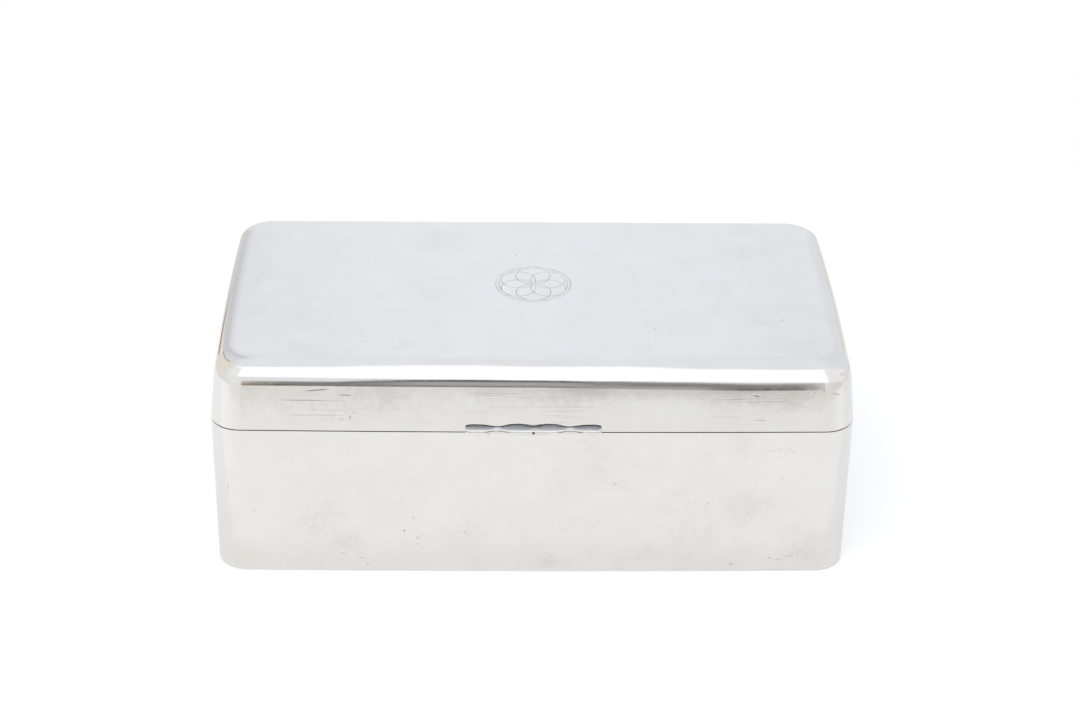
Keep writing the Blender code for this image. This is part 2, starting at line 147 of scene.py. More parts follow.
def crossing(first, first_radius, second, second_radius):
    """Where two circles round (x, y) centres meet, on the right of the way from first to second."""
    step_x = second[0] - first[0]
    step_y = second[1] - first[1]
    apart = math.hypot(step_x, step_y)
    along = (first_radius ** 2 - second_radius ** 2 + apart ** 2) / (2 * apart)
    aside = math.sqrt(first_radius ** 2 - along ** 2)
    x = first[0] + (along * step_x - aside * step_y) / apart
    y = first[1] + (along * step_y + aside * step_x) / apart
    return x, y


FRONT_RADIUS = bow_radius(HALF_WIDTH - CORNER_RADIUS, FRONT_BOW)
SIDE_RADIUS = bow_radius(HALF_DEPTH - CORNER_RADIUS, SIDE_BOW)


def plan_arcs(inset, corner):
    """Arcs of the right half of the plan moved in by inset, front to back, with corners of one radius.

    Each is centre, radius, first and last angle, steps.
    """
    front = (0.0, FRONT_RADIUS - HALF_DEPTH)
    side = (HALF_WIDTH - SIDE_RADIUS, 0.0)
    back = inset + corner
    near = crossing(front, FRONT_RADIUS - back, side, SIDE_RADIUS - back)
    far_y = HALF_DEPTH - back
    far = (side[0] + math.sqrt((SIDE_RADIUS - back) ** 2 - far_y ** 2), far_y)
    front_end = math.atan2(near[1] - front[1], near[0] - front[0])
    side_start = math.atan2(near[1] - side[1], near[0] - side[0])
    side_end = math.atan2(far[1] - side[1], far[0] - side[0])
    return (
        (front, FRONT_RADIUS - inset, -math.pi / 2, front_end, FRONT_STEPS),
        (near, corner, front_end, side_start, CORNER_STEPS),
        (side, SIDE_RADIUS - inset, side_start, side_end, SIDE_STEPS),
        (far, corner, side_end, math.pi / 2, CORNER_STEPS),
    )


def plan_points(inset, corner):
    """Plan points as x, y, out_x, out_y, swell, anticlockwise from the middle of the front.

    swell tells how much faster than elsewhere the corners draw in, where they keep their radius.
    """
    arcs = plan_arcs(inset, corner)
    right = []
    for number, (centre, radius, first, last, steps) in enumerate(arcs):
        for step in range(steps):
            angle = first + (last - first) * step / steps
            out_x, out_y = math.cos(angle), math.sin(angle)
            swell = 1.0
            if number % 2:
                half = (last - first) / 2
                swell = math.cos(angle - first - half) / math.cos(half)
            right.append((centre[0] + radius * out_x, centre[1] + radius * out_y, out_x, out_y, swell))
    flat_end = arcs[-1][0][0]
    stops = [flat_end, GROOVE_HALF + STEP_WIDTH, GROOVE_HALF]
    stops += [GROOVE_HALF * (1 - step / BACK_STEPS) for step in range(1, BACK_STEPS + 1)]
    right += [(x, HALF_DEPTH - inset, 0.0, 1.0, 1.0) for x in stops]
    left = [(-x, y, -out_x, out_y, swell) for x, y, out_x, out_y, swell in reversed(right[1:-1])]
    return right + left


COLUMNS = plan_points(0.0, CORNER_RADIUS)


def rim_step(x, y):
    """How far a rim stands back from the hinge's level at a plan place: bevel and knuckle groove."""
    beyond = max(0.0, y - HINGE_Y)
    back = beyond * math.tan(STOP_ANGLE / 2)
    if y > HINGE_Y - STEP_WIDTH and abs(x) <= GROOVE_HALF:
        back = max(back, math.sqrt(GROOVE_RADIUS ** 2 - beyond ** 2))
    return back


# Sections in (out, height), each point with its outward direction

def eased_corner(before, corner, after, radius):
    """Points of a small arc at a section's corner, as out, height, and the surface's direction there."""
    corner = Vector(corner)
    arrive = (corner - Vector(before)).normalized()
    leave = (Vector(after) - corner).normalized()
    turn = arrive.angle_signed(leave)
    length = radius * math.tan(abs(turn) / 2)
    start = corner - arrive * length
    facing = Vector((-arrive.y, arrive.x))
    side = 1 if arrive.x * leave.y - arrive.y * leave.x > 0 else -1
    centre = start + facing * radius * side
    points = []
    for step in range(EASE_STEPS + 1):
        angle = abs(turn) * step / EASE_STEPS * side
        spin = Matrix.Rotation(angle, 2)
        place = centre + spin @ (start - centre)
        points.append((*place, *(spin @ facing)))
    return points


def edge_curve(depth, soft_radius):
    """The lid's section from its wall to its top edge at a depth below the outer face.

    Each point is out, height, its outward direction and the corner radius of the plan there.
    """
    lean = math.tan(LID_LEAN)
    start = math.atan(lean * EDGE_DROP / EDGE_RUN)
    wall_top = LID_RISE - EDGE_DROP * (1 - math.sin(start))
    whole = wall_top * lean + EDGE_RUN * math.cos(start)
    rise = soft_radius * (math.sin(EDGE_SOFT_LEAN) - math.sin(LID_LEAN))
    run = soft_radius * (math.cos(LID_LEAN) - math.cos(EDGE_SOFT_LEAN))
    width = EDGE_RUN
    for _ in range(9):
        first = math.atan(math.tan(EDGE_SOFT_LEAN) * EDGE_DROP / width)
        soft_top = LID_RISE - EDGE_DROP * (1 - math.sin(first))
        foot = soft_top - rise
        width = (whole - foot * lean - run) / math.cos(first)
    points = []
    for step in range(SOFT_STEPS):
        tilt = LID_LEAN + (EDGE_SOFT_LEAN - LID_LEAN) * step / SOFT_STEPS
        inset = foot * lean + soft_radius * (math.cos(LID_LEAN) - math.cos(tilt))
        height = foot + soft_radius * (math.sin(tilt) - math.sin(LID_LEAN))
        points.append((inset, height, math.cos(tilt), math.sin(tilt)))
    for step in range(EDGE_STEPS + 1):
        angle = first + (math.pi / 2 - first) * step / EDGE_STEPS
        across, down = width * math.sin(angle), EDGE_DROP * math.cos(angle)
        length = math.hypot(across, down)
        inset = foot * lean + run + width * (math.cos(first) - math.cos(angle))
        height = LID_RISE - EDGE_DROP * (1 - math.sin(angle))
        points.append((inset, height, down / length, across / length))
    top_inset = points[-1][0]
    section = []
    for inset, height, out, up in points:
        corner = CORNER_RADIUS + (TOP_CORNER_RADIUS - CORNER_RADIUS) * inset / top_inset
        section.append((-inset - depth * out, LID_RIM + height - depth * up, out, up, corner - depth * out))
    return section


OUTER_EDGE = edge_curve(0.0, EDGE_SOFT_RADIUS)
LOOSE_EDGE = edge_curve(0.0, EDGE_LOOSE_RADIUS)
INNER_EDGE = edge_curve(WALL, EDGE_SOFT_RADIUS)
TOP_INSET = -OUTER_EDGE[-1][0]


def rim_steps(x, y):
    """How far a sheet's outer and inner rim stand back from the seam at a plan place."""
    outer = max(0.0, rim_step(x, y) - SEAM_GAP / 2)
    inner = max(0.0, rim_step(x, min(y, HINGE_Y)) - SEAM_GAP / 2) if y > HINGE_Y else 0.0
    return outer, inner


def lid_rim(x, y):
    """The lid's rim in one plan place, from the outer wall's foot round to the inner wall's."""
    lean = math.tan(LID_LEAN)
    outer_rise, inner_rise = rim_steps(x, y)
    outer_rim = (-outer_rise * lean, LID_RIM + outer_rise)
    inner_rim = (-WALL / math.cos(LID_LEAN) - inner_rise * lean, LID_RIM + inner_rise)
    points = eased_corner(OUTER_EDGE[0][:2], outer_rim, inner_rim, RIM_EASE)
    return points + eased_corner(outer_rim, inner_rim, INNER_EDGE[0][:2], RIM_EASE)


def body_section(x, y):
    """The body wall's section in one plan place, down outside, under the foot and up inside."""
    outer_fall, inner_fall = rim_steps(x, y)
    corners = ((-WALL, BODY_HEIGHT - inner_fall), (0.0, BODY_HEIGHT - outer_fall), (0.0, 0.0), (-WALL, 0.0))
    ring = []
    for index, radius in enumerate((RIM_EASE, FOOT_EASE, RIM_EASE, RIM_EASE)):
        before, corner, after = (corners[(index + step) % 4] for step in range(3))
        ring += eased_corner(before, corner, after, radius)
    return ring


def crown(x, y):
    """Lift of the lid's top above its edge at a place, and its slopes."""
    across, along = x / (HALF_WIDTH - TOP_INSET), y / (HALF_DEPTH - TOP_INSET)
    first, second = max(0.0, 1 - across ** 2), max(0.0, 1 - along ** 2)
    lift = CROWN * first ** 2 * second ** 2
    slope_x = -4 * CROWN * first * second ** 2 * across / (HALF_WIDTH - TOP_INSET)
    slope_y = -4 * CROWN * first ** 2 * second * along / (HALF_DEPTH - TOP_INSET)
    return lift, slope_x, slope_y


# Meshes

def place(column, point):
    """World point and direction of a section's point in a column of the plan."""
    x, y, out_x, out_y, _ = column
    out, height, way, up = point
    return (x + out * out_x, y + out * out_y, height), (way * out_x, way * out_y, up)


def crown_points(edge, facing):
    """Points and directions of a lid surface from its middle to its top edge, for one column."""
    points = []
    for step in range(1, CROWN_STEPS):
        share = math.sin(math.pi / 2 * step / CROWN_STEPS)
        x, y = edge[0] * share, edge[1] * share
        lift, slope_x, slope_y = crown(x, y)
        normal = Vector((-slope_x, -slope_y, 1)).normalized() * facing
        points.append(((x, y, edge[2] + lift), tuple(normal)))
    return points


def sheet_mesh(name, rows, ends, wrap):
    """Mesh of a sheet of quads through rows of (point, direction), one row a column of the plan.

    ends holds a point and direction for the first and last pole, or None; wrap joins the section's ends.
    """
    count, length = len(rows), len(rows[0])
    points, normals = (list(part) for part in zip(*(item for row in rows for item in row)))
    faces, steep = [], []
    for column in range(count):
        following = (column + 1) % count
        narrow = math.dist(rows[column][0][0], rows[following][0][0]) < 2 * STEP_WIDTH
        for index in range(length if wrap else length - 1):
            below = (index + 1) % length
            here, there = column * length, following * length
            faces.append((here + index, here + below, there + below, there + index))
            steep.append(narrow)
    for which, end in enumerate(ends):
        if end is None:
            continue
        pole, edge = len(points), which * (length - 1)
        points.append(end[0])
        normals.append(end[1])
        for column in range(count):
            near, far = column * length + edge, (column + 1) % count * length + edge
            faces.append((pole, far, near) if which else (pole, near, far))
            steep.append(False)
    mesh = bpy.data.meshes.new(name)
    mesh.from_pydata(points, [], faces)
    mesh.shade_smooth()
    loops = []
    for polygon in mesh.polygons:
        narrow = steep[polygon.index]
        loops += [tuple(polygon.normal) if narrow else normals[vertex] for vertex in polygon.vertices]
    mesh.normals_split_custom_set(loops)
    return mesh


def finish(piece, material):
    """Give a piece one material."""
    piece.data.materials.clear()
    piece.data.materials.append(material)


def new_object(name, data):
    """Object in the scene."""
    made = bpy.data.objects.new(name, data)
    scene.collection.objects.link(made)
    return made


def add_piece(name, mesh, material, body, slot, *stands_for):
    """Object that rides on a body, takes a material and stands for CAD nodes; slot is not used."""
    piece = new_object(name, mesh)
    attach(piece, body)
    if stands_for:
        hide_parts(*stands_for)
    finish(piece, material)


def edge_rings(edge, facing):
    """Rings of points and directions along one face of the lid's edge, one ring a point of its section."""
    tuck = (CORNER_RADIUS - TOP_CORNER_RADIUS) / TOP_INSET
    rings = []
    for out, height, way, up, corner in edge:
        ring = []
        for x, y, out_x, out_y, swell in plan_points(-out, corner):
            normal = Vector((way * out_x, way * out_y, up * (swell + tuck * (1 - swell))))
            ring.append(((x, y, height), tuple(normal.normalized() * facing)))
        rings.append(ring)
    return rings


def looseness(x, y):
    """Share of the softer edge, which the hand-worked lid has at the right of its front."""
    along = min(1.0, max(0.0, (x - LOOSE_FROM) / (LOOSE_TO - LOOSE_FROM)))
    return along * min(1.0, max(0.0, (LOOSE_SIDE_TO - y) / (LOOSE_SIDE_TO - LOOSE_SIDE_FROM)))


def between(first, second, share):
    """Point and direction at a share of the way between two."""
    point = Vector(first[0]).lerp(Vector(second[0]), share)
    normal = Vector(first[1]).lerp(Vector(second[1]), share)
    return tuple(point), tuple(normal.normalized())


def lid_mesh():
    """Fine lid of one sheet thickness."""
    outer = edge_rings(OUTER_EDGE[::-1], 1)
    loose = edge_rings(LOOSE_EDGE[::-1], 1)
    inner = edge_rings(INNER_EDGE, -1)
    rows = []
    for index, column in enumerate(COLUMNS):
        share = looseness(column[0], column[1])
        side = [between(ring[index], other[index], share) for ring, other in zip(outer, loose)]
        side += [place(column, point) for point in lid_rim(column[0], column[1])]
        side += [ring[index] for ring in inner]
        top = crown_points(side[0][0], 1)
        ceiling = crown_points(side[-1][0], -1)
        rows.append(top + side + ceiling[::-1])
    top_level = LID_RIM + LID_RISE + CROWN
    ends = (((0, 0, top_level), (0, 0, 1)), ((0, 0, top_level - WALL), (0, 0, -1)))
    return sheet_mesh("lid", rows, ends, False)


def body_mesh():
    """Fine body wall, one bent strip."""
    rows = [[place(column, point) for point in body_section(column[0], column[1])] for column in COLUMNS]
    return sheet_mesh("body", rows, (None, None), True)


def loft(rings, closed=False):
    """Solid through rings of points; a ring may be one point, and closed joins the last to the first."""
    solid = bmesh.new()
    loops = [[solid.verts.new(point) for point in ring] for ring in rings]
    pairs = list(zip(loops, loops[1:]))
    if closed:
        pairs.append((loops[-1], loops[0]))
    for lower, upper in pairs:
        count = max(len(lower), len(upper))
        for index in range(count):
            corners = [lower[index % len(lower)], lower[(index + 1) % len(lower)]]
            corners += [upper[(index + 1) % len(upper)], upper[index % len(upper)]]
            solid.faces.new(list(dict.fromkeys(corners)))
    if not closed:
        for end in (loops[0], loops[-1]):
            if len(end) > 1:
                solid.faces.new(end)
    bmesh.ops.recalc_face_normals(solid, faces=solid.faces[:])
    return solid


def to_mesh(name, solid, angle=SHARP_TURN):
    """Mesh of a solid, smooth but for edges sharper than angle."""
    mesh = bpy.data.meshes.new(name)
    solid.to_mesh(mesh)
    solid.free()
    mesh.shade_smooth()
    mesh.set_sharp_from_angle(angle=angle)
    return mesh


def circle(radius, x):
    """Ring of points round the X axis."""
    angles = [2 * math.pi * index / HINGE_SIDES for index in range(HINGE_SIDES)]
    return [Vector((x, radius * math.cos(angle), radius * math.sin(angle))) for angle in angles]


# Thumbpiece

def eased(shares, share):
    """Value at a place among (place, value) shares, eased between them by half cosines."""
    for (low, start), (high, end) in zip(shares, shares[1:]):
        if share <= high:
            blend = (1 - math.cos(math.pi * (share - low) / (high - low))) / 2
            return start + (end - start) * blend
    return shares[-1][1]


def mix(low, high, share):
    """Value between low and high."""
    return low + (high - low) * share


def thumb_section(share):
    """Ring round the thumbpiece at a share of its half width, from the seam up."""
    lobe = eased(THUMB_LOBE_SHARES, abs(share))
    rise = eased(THUMB_NOTCH_SHARES, abs(share))
    tail = max(0.0, (abs(share) - THUMB_END_SHARE) / (1 - THUMB_END_SHARE))
    fall = 1 - math.sqrt(max(0.0, 1 - tail ** 2))
    reach = mix(mix(THUMB_WAIST_REACH, THUMB_REACH, lobe), THUMB_END_REACH, fall)
    root = mix(mix(THUMB_WAIST_HEIGHT, THUMB_ROOT_HEIGHT, rise), THUMB_END_HEIGHT, fall)
    front = min(mix(THUMB_WAIST_FRONT_HEIGHT, THUMB_FRONT_HEIGHT, lobe), root)
    bead = front / (2 + 2 * math.sin(BEAD_TURN))
    x = share * THUMB_WIDTH / 2
    bulge = x ** 2 / (2 * FRONT_RADIUS)

    def at(out, height):
        return Vector((x, bulge - out - HALF_DEPTH, height + LID_RIM))

    def back(height):
        return at(SEAT_GAP / math.cos(LID_LEAN) - height * math.tan(LID_LEAN), height)

    ring = [back(0.0)]
    for start, end, middle in ((-math.pi / 2, BEAD_TURN, bead), (-BEAD_TURN, math.pi / 2, front - bead)):
        for step in range(BEAD_STEPS + 1):
            turn = mix(start, end, step / BEAD_STEPS)
            out = SEAT_GAP + reach - bead + bead * math.cos(turn)
            ring.append(at(out, middle + bead * math.sin(turn)))
    ring.append(back(root))
    return ring


def thumb_mesh():
    """Fine thumbpiece with its dimple drilled."""
    middle = [THUMB_END_SHARE * (2 * step / THUMB_STEPS - 1) for step in range(THUMB_STEPS + 1)]
    turns = [math.pi / 2 * step / THUMB_END_STEPS for step in range(1, THUMB_END_STEPS + 1)]
    end = [mix(THUMB_END_SHARE, 1, math.sin(turn)) for turn in turns]
    shares = [-share for share in reversed(end)] + middle + end
    bar = to_mesh("thumbpiece", loft([thumb_section(share) for share in shares]))
    lobe = eased(THUMB_LOBE_SHARES, 0.0)
    face = -HALF_DEPTH - SEAT_GAP - mix(THUMB_WAIST_REACH, THUMB_REACH, lobe)
    height = LID_RIM + mix(THUMB_WAIST_FRONT_HEIGHT, THUMB_FRONT_HEIGHT, lobe) / 2
    drill = loft([circle(THUMB_DIMPLE_RADIUS, end) for end in (-THUMB_DIMPLE_DEPTH, WALL)])
    seat = Matrix.Translation((0, face, height)) @ Matrix.Rotation(-math.pi / 2, 4, "Z")
    bmesh.ops.transform(drill, matrix=seat, verts=drill.verts[:])
    mesh = drilled(bar, to_mesh("drill", drill, 0.0))
    film_and_shade_shares(mesh, face, height)
    return mesh


def film_and_shade_shares(mesh, front, middle_height):
    """Mark where the thumbpiece is painted dark, film with painted shade: the groove between the beads, the
    back edge against the lid and the dimple.
    """
    film_and_shade_share = mesh.attributes.new("film", "FLOAT", "POINT")
    for index, vertex in enumerate(mesh.vertices):
        x, y, z = vertex.co
        section = thumb_section(x / (THUMB_WIDTH / 2))
        groove, other, edge = (math.dist((y, z), section[place][1:]) for place in GROOVE_PLACES)
        in_dimple = math.hypot(x, z - middle_height) < THUMB_DIMPLE_RADIUS * 1.05 and y > front + GROOVE_FILM_AND_SHADE
        dark = min(groove, other) < GROOVE_FILM_AND_SHADE or edge < EDGE_FILM_AND_SHADE or in_dimple
        film_and_shade_share.data[index].value = 1.0 if dark else 0.0


def modify(piece, kind, **settings):
    """Add a modifier to a piece."""
    modifier = piece.modifiers.new(kind.lower(), kind)
    for key, value in settings.items():
        setattr(modifier, key, value)


def drilled(mesh, cutter):
    """Mesh with a cutter's space taken out of it."""
    first = new_object("drilled", mesh)
    second = new_object("drill", cutter)
    modify(first, "BOOLEAN", operation="DIFFERENCE", solver="EXACT", object=second)
    graph = bpy.context.evaluated_depsgraph_get()
    made = bpy.data.meshes.new_from_object(first.evaluated_get(graph))
    bpy.data.objects.remove(first, do_unlink=True)
    bpy.data.objects.remove(second, do_unlink=True)
    return made


# Materials

class Graph:
    """Short way to build a material's or world's nodes."""

    def __init__(self, tree):
        self.tree = tree

    def add(self, kind, settings=None, **inputs):
        """Node with its settings and inputs; an input is a socket or a value, and _N names it by number."""
        node = self.tree.nodes.new("ShaderNode" + kind)
        for key, value in (settings or {}).items():
            setattr(node, key, value)
        for key, value in inputs.items():
            socket = node.inputs[int(key[1:])] if key[0] == "_" else node.inputs[key.replace("_", " ")]
            self.put(socket, value)
        return node

    def put(self, socket, value):
        """Link a socket to the input, or set the input's value."""
        if isinstance(value, bpy.types.NodeSocket):
            self.tree.links.new(value, socket)
        else:
            socket.default_value = value

    def math(self, operation, first, second=0):
        return self.add("Math", {"operation": operation}, _0=first, _1=second).outputs[0]

    plus = partialmethod(math, "ADD")
    minus = partialmethod(math, "SUBTRACT")
    larger = partialmethod(math, "MAXIMUM")
    absolute = partialmethod(math, "ABSOLUTE")
    degrees = partialmethod(math, "DEGREES")

    def times(self, first, *others):
        for other in others:
            first = self.math("MULTIPLY", first, other)
        return first

    def vector(self, operation, first, second):
        return self.add("VectorMath", {"operation": operation}, _0=first, _1=second).outputs[0]

    def length(self, value):
        return self.add("VectorMath", {"operation": "LENGTH"}, _0=value).outputs["Value"]

    def turned(self, where, axis, angle):
        settings = {"rotation_type": axis + "_AXIS"}
        return self.add("VectorRotate", settings, Vector=where, Angle=angle).outputs[0]

    def split(self, value):
        return self.add("SeparateXYZ", Vector=value).outputs

    def found(self, output):
        """The surface's place or direction in the object's own coordinates, or the world's direction."""
        return self.add("TexCoord").outputs[output]

    def range(self, value, low, high, start=0, end=1):
        """Value mapped from low..high to start..end, eased between them and held beyond."""
        settings = {"interpolation_type": "SMOOTHSTEP", "clamp": True}
        return self.add("MapRange", settings, _0=value, _1=low, _2=high, _3=start, _4=end).outputs[0]

    def fall(self, value, low, high):
        """Value mapped from low..high to 1..0."""
        return self.range(value, low, high, 1, 0)

    def blend(self, share, first, second, kind="MIX"):
        """Colour between first and second."""
        node = self.add("Mix", {"data_type": "RGBA", "blend_type": kind, "clamp_factor": True})
        for place, value in ((0, share), (6, first), (7, second)):
            self.put(node.inputs[place], value)
        return node.outputs[2]

    def noise(self, where, scale, detail=2, rough=0.5, bend=0):
        inputs = {"Scale": scale, "Detail": detail, "Roughness": rough, "Distortion": bend}
        return self.add("TexNoise", Vector=where, **inputs).outputs["Fac"]

    def drawn(self, where, scales, detail=2, rough=0.5, bend=0):
        """Noise with its own scale along each axis."""
        return self.noise(self.vector("MULTIPLY", where, scales), 1, detail, rough, bend)

    def bump(self, strength, distance, height, **inputs):
        inputs.update(Strength=strength, Distance=distance, Height=height)
        return self.add("Bump", **inputs).outputs[0]

    def stops(self, value, stops):
        """Number that follows (place, number) stops, eased between them."""
        total = stops[0][1]
        for (low, start), (high, end) in zip(stops, stops[1:]):
            total = self.plus(total, self.range(value, low, high, 0, end - start))
        return total

    def tinted(self, level, tint):
        """Colour of a level times a tint."""
        red, green, blue = (self.times(level, part) for part in tint)
        return self.add("CombineColor", _0=red, _1=green, _2=blue).outputs[0]

    def spot(self, where, centre, reach):
        """Mask that is 1 at a centre and falls to 0 at an ellipsoid of the given reach."""
        apart = self.vector("SUBTRACT", where, centre)
        return self.fall(self.length(self.vector("DIVIDE", apart, reach)), 0, 1)

    def spots(self, where, rows, mask=0):
        """Mask of spots, each a centre, a reach and a strength in millimetres, on top of another mask."""
        for *sizes, strength in rows:
            sizes = [size * MM for size in sizes]
            mask = self.larger(mask, self.times(self.spot(where, sizes[:3], sizes[3:]), strength))
        return mask


def colour(*parts):
    return (*parts, 1)


def new_material(name):
    """Material with a Principled shader, and its graph and shader."""
    made = bpy.data.materials.new(name)
    made.use_nodes = True
    return made, Graph(made.node_tree), made.node_tree.nodes["Principled BSDF"]


def dress(g, shader, base, rough, bump, metallic=1):
    """Give a shader its colour, roughness and relief."""
    g.put(shader.inputs["Base Color"], base)
    g.put(shader.inputs["Roughness"], rough)
    g.put(shader.inputs["Normal"], bump)
    shader.inputs["Metallic"].default_value = metallic


MM = 0.001
SILVER = colour(0.8, 0.792, 0.77)
WORN_SILVER = colour(0.76, 0.75, 0.72)
FILM = colour(0.715, 0.7, 0.645)
DEEP_FILM = colour(0.57, 0.56, 0.51)
ROSY_FILM = colour(0.8, 0.74, 0.68)
SCRATCH = colour(0.34, 0.32, 0.29)
PIT = colour(0.14, 0.13, 0.12)

# Marks of age on the silver in millimetres, each a centre, a reach and a strength: patches of film
DULL_PATCHES = (
    (-74, -59.6, 22, 17, 20, 13, 0.9), (-65, -59.6, 14, 10, 20, 8, 0.8), (77, -59.6, 27, 19, 20, 13, 0.9),
    (98, -59.6, 12, 14, 20, 14, 0.8), (6, -59.6, 4, 12, 20, 4, 1), (39, -59.6, 6, 16, 20, 7, 0.7),
    (-22, -59.6, 13, 16, 20, 10, 0.45), (20, -59.6, 41, 20, 20, 12, 0.5), (-70, -59.6, 69, 30, 12, 6, 0.5),
    (-47, -59.6, 66, 26, 12, 8, 0.4), (10, -59.6, 68, 30, 12, 7, 0.25), (75, -59.6, 68, 32, 12, 7, 0.3),
    (103, -56, 73, 10, 14, 5, 0.6), (-34, 36, 83, 20, 13, 10, 0.9), (-80, -46, 83, 10, 8, 10, 0.6),
    (-47, -45, 83, 6, 4, 10, 0.6), (90, -45, 83, 22, 14, 10, 0.6), (-104, 10, 83, 12, 50, 12, 0.6),
    (55, 21, 83, 7, 4, 10, 0.6), (78, 30, 83, 20, 10, 10, 0.4), (50, 59.6, 30, 30, 20, 16, 0.7),
    (-60, 59.6, 20, 22, 20, 12, 0.7), (112.5, 10, 20, 20, 22, 13, 0.7), (-112.5, 20, 35, 20, 18, 15, 0.7),
)
# Warmer patches
ROSY_PATCHES = (
    (-101, -56, 7, 7, 12, 8, 0.9), (-95, -59.6, 51, 12, 20, 8, 0.6), (-37, -59.6, 51, 12, 20, 8, 0.5),
    (112.5, -20, 45, 20, 16, 10, 0.4),
)
# Patches of short hatching
HATCHED = (
    (-74, -59.6, 19, 10, 20, 9, 1), (-66, -59.6, 11, 7, 20, 7, 1), (95, -59.6, 8, 14, 20, 6, 1),
    (76, -59.6, 24, 12, 20, 8, 1), (30, -59.6, 37, 14, 20, 6, 1), (-60, -59.6, 69, 20, 20, 6, 1),
    (80, -59.6, 70, 24, 20, 6, 1),
)
# Patches of specks
SPECKLED = (
    (-58, -59.6, 3.5, 7, 20, 3, 1), (-40, -59.6, 14, 6, 20, 7, 1), (-25, -59.6, 17, 10, 20, 6, 1),
    (61, -59.6, 29, 8, 20, 4, 1), (29, -59.6, 37, 7, 20, 4, 1), (94, -59.6, 8, 10, 20, 4, 1),
    (71, -59.6, 3, 5, 20, 2, 1), (-65, -59.6, 64, 8, 20, 4, 1), (99, -59, 73, 10, 20, 4, 1),
    (85, -59, 50, 14, 20, 6, 1), (-101, 4, 83, 8, 6, 10, 1),
)
SPECK_STRENGTH = 0.32

# Scratches on the front walls: x and z of both ends, half width and strength
WALL_SCRATCHES = (
    (-79.2, 73, -68.6, 74.1, 0.35, 1), (-67, 71.9, -61.7, 71.6, 0.3, 0.7),
    (-63.2, 64.8, -62.6, 62.2, 0.45, 0.8), (75, 72.2, 77.5, 71.7, 0.4, 1),
    (75.3, 62.8, 81.1, 62.4, 0.18, 0.6), (97.5, 74.6, 101, 72.8, 0.35, 1),
    (101.5, 72.8, 106.2, 71.2, 0.35, 1), (83, 6.2, 86, 5.2, 0.3, 1),
    (85, 4.5, 90.5, 5.6, 0.26, 0.9), (88, 6.8, 93.5, 6, 0.22, 0.8),
    (70, 3.6, 72.2, 2.9, 0.45, 1), (-69, 8.2, -64, 7, 0.22, 0.7),
    (-63, 6.2, -57, 5.2, 0.22, 0.8), (-106, 37, -106.3, 31, 0.22, 0.8),
    (-16, 57.5, -14.5, 56.6, 0.35, 0.8), (-7.5, 57.7, -5, 57.5, 0.3, 0.8),
)
SCRATCH_DEPTH = 12

# Pits: centre, reach and strength
PITS = (
    (-97.4, -59, 25.3, 0.45, 0.6), (-55.1, -59.6, 28.4, 0.45, 0.35), (-44.9, -59.6, 17.2, 0.65, 1),
    (-41.7, -59.6, 22.8, 0.85, 0.28), (-40.4, -59.6, 11.6, 0.55, 0.45), (-58.1, -59.6, 3.1, 0.5, 0.5),
    (87, -59.4, 39.2, 0.45, 0.6), (61.5, -59.6, 29.1, 0.5, 0.5), (28.4, -59.6, 37.2, 0.4, 0.4),
    (105.2, -54, 76.5, 0.5, 0.8), (106, -53.5, 77.4, 0.45, 0.7), (-49.2, 12.6, 83.5, 0.5, 0.4),
    (-98.7, 3.8, 83, 0.5, 0.7), (-106.2, 5.9, 82, 0.55, 0.7), (-96.1, -38.8, 83, 0.45, 0.35),
    (88.2, -24.5, 83, 0.7, 0.5), (42.5, -31.6, 83.5, 0.6, 0.6), (78.6, 27.6, 83, 0.45, 0.4),
    (-5.6, 23.6, 84, 0.5, 0.8), (-3.9, -24.1, 84, 0.5, 0.8),
)
PIT_DEPTH = 4

# Engraved rosette in the middle of the lid, in metres
ENGRAVED_X = 0.0005
ENGRAVED_Y = 0.001
ENGRAVED_RADIUS = 0.0062
ENGRAVED_PETALS = 6
ENGRAVED_RIMS = (0.0124, 0.0135)
ENGRAVED_LINE = 0.00032

TEAR = 0.014
SKEW = math.radians(38)


def film(g, where):
    """Masks of the film on the silver: its torn patches, broken up by fine noise, and the warmer ones."""
    warp = g.add("TexNoise", Vector=where, Scale=95, Detail=3, Roughness=0.6)
    shift = g.vector("SUBTRACT", warp.outputs["Color"], (0.5, 0.5, 0.5))
    torn = g.vector("ADD", where, g.vector("MULTIPLY", shift, (TEAR, TEAR, TEAR)))
    cloud = g.range(g.noise(torn, 21, 4, 0.65), 0.5, 0.72)
    patches = g.spots(torn, DULL_PATCHES, g.times(cloud, 0.6))
    fine = g.range(g.noise(where, 120, 5, 0.7), 0.34, 0.62, 0.25, 1)
    return g.times(patches, fine), g.spots(torn, ROSY_PATCHES)


